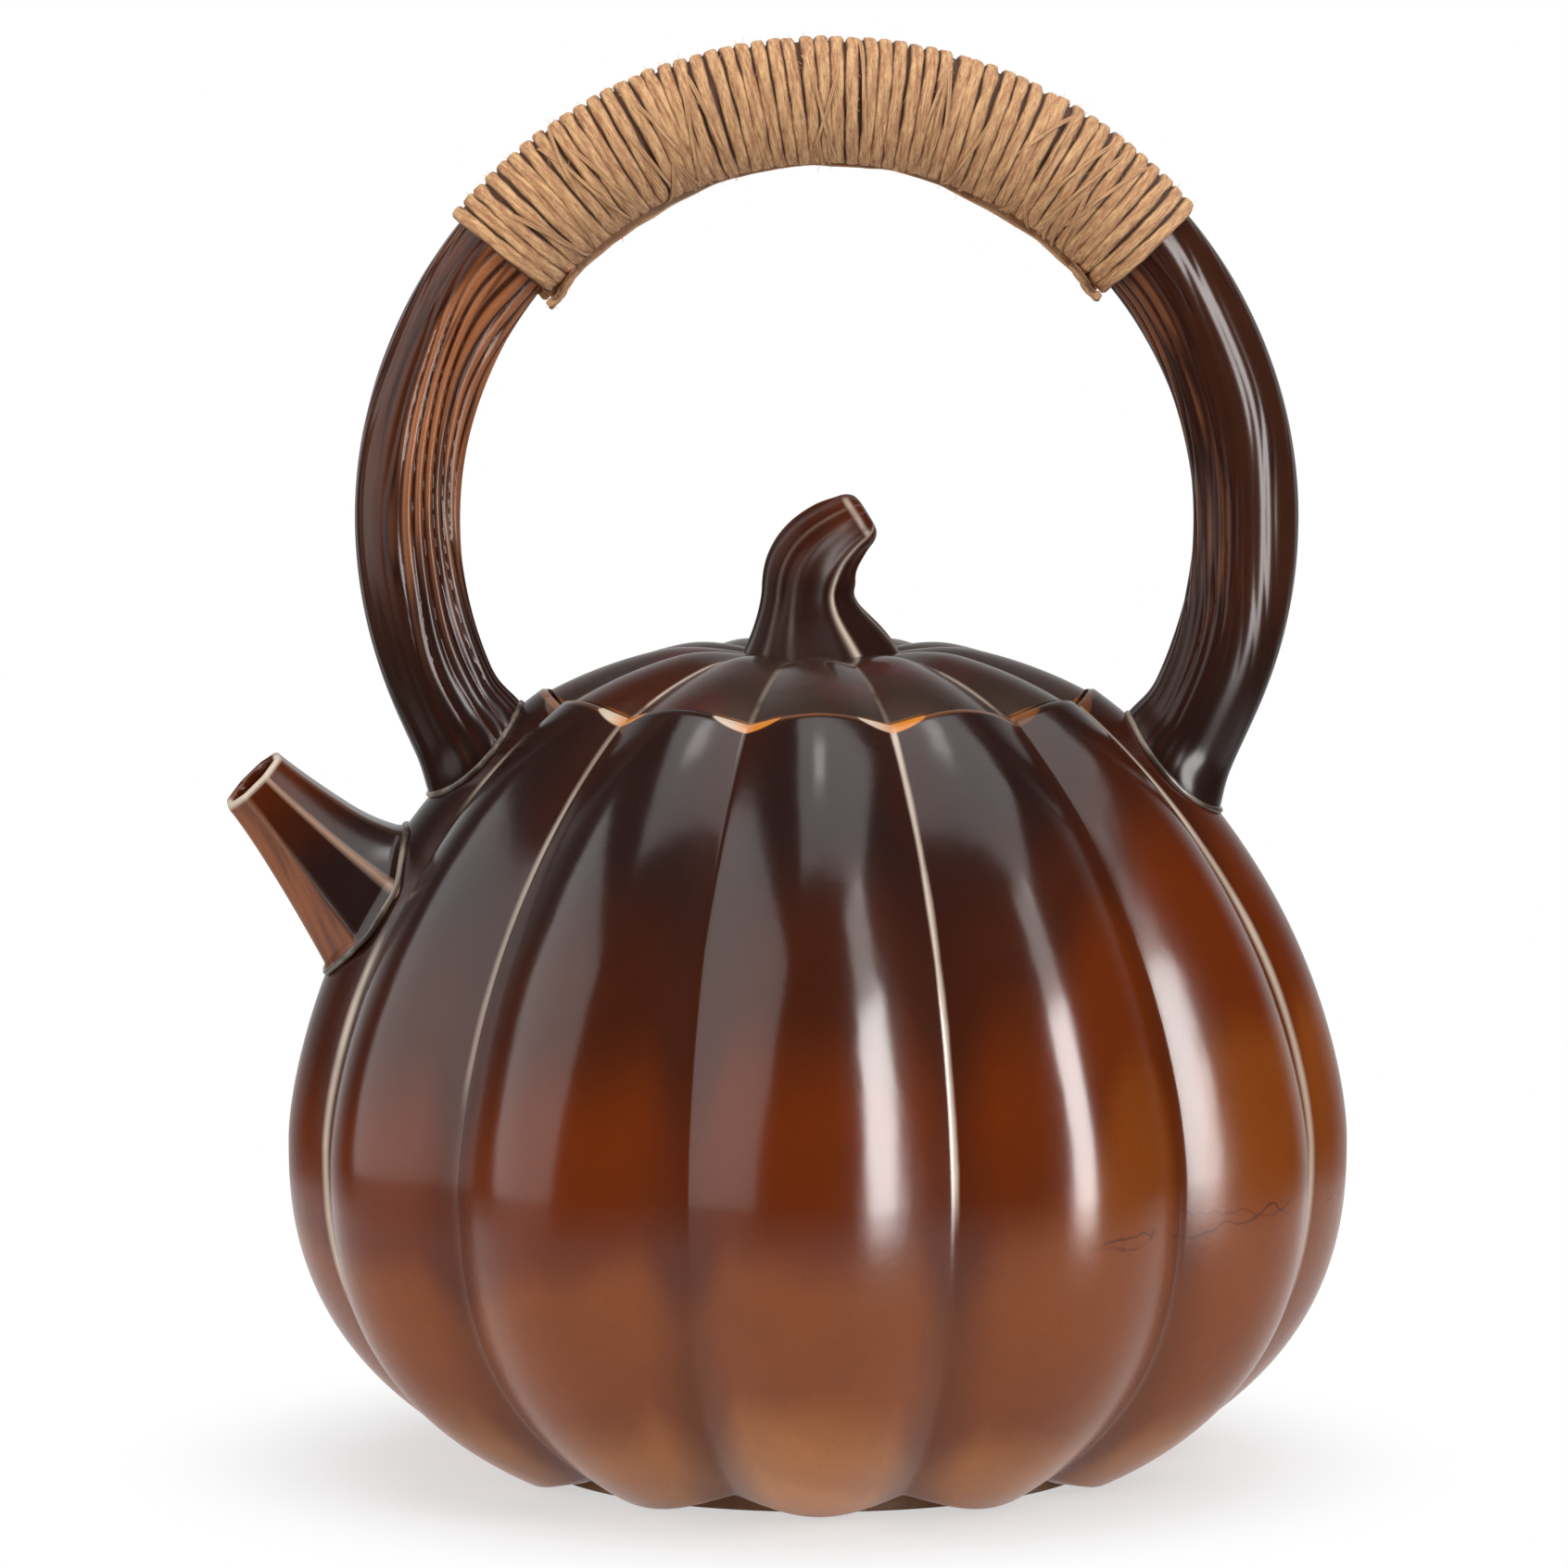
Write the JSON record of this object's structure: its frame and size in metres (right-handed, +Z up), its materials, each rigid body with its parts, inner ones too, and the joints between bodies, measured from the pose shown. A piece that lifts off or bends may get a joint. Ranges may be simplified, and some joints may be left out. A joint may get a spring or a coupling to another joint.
{
  "type": "lobed ceramic teapot with overhead handle",
  "caption": "Pumpkin-shaped glazed teapot with a short faceted spout, a lift-off lobed lid with a curved stem knob, and a fluted overhead handle bound in twine.",
  "frame": {"origin": "on the surface that the pot stands on, under the middle of the teapot's whole length", "axes": "+Z up, the spout points to -X, the pictured front is -Y"},
  "size_m": [0.1478, 0.14, 0.188],
  "materials": {
    "body_glaze": "glossy brown glaze, dark at the shoulder and amber to ochre lower down",
    "dark_glaze": "glossy dark brown glaze that breaks amber and cream on edges",
    "bare_clay": "unglazed stoneware, turned smooth",
    "twine": "natural jute twine, dry and fibrous"
  },
  "bodies": {
    "pot": {"pot_body": "body_glaze", "lid_seat": "body_glaze", "foot_ring": "bare_clay", "spout": "dark_glaze", "spout_strainer": "body_glaze", "handle_arch": "dark_glaze", "twine_winding": "twine", "twine_tail": "twine", "twine_knot_left": "twine", "twine_knot_right": "twine"},
    "lid": {"lid_cap": "dark_glaze", "lid_flange": "body_glaze", "stem_knob": "dark_glaze"}
  },
  "joints": [
    {"name": "lid_lift", "type": "slide", "parent": "pot", "child": "lid", "axis": [0, 0, 1], "range_m": [0, 0.034]}
  ]
}
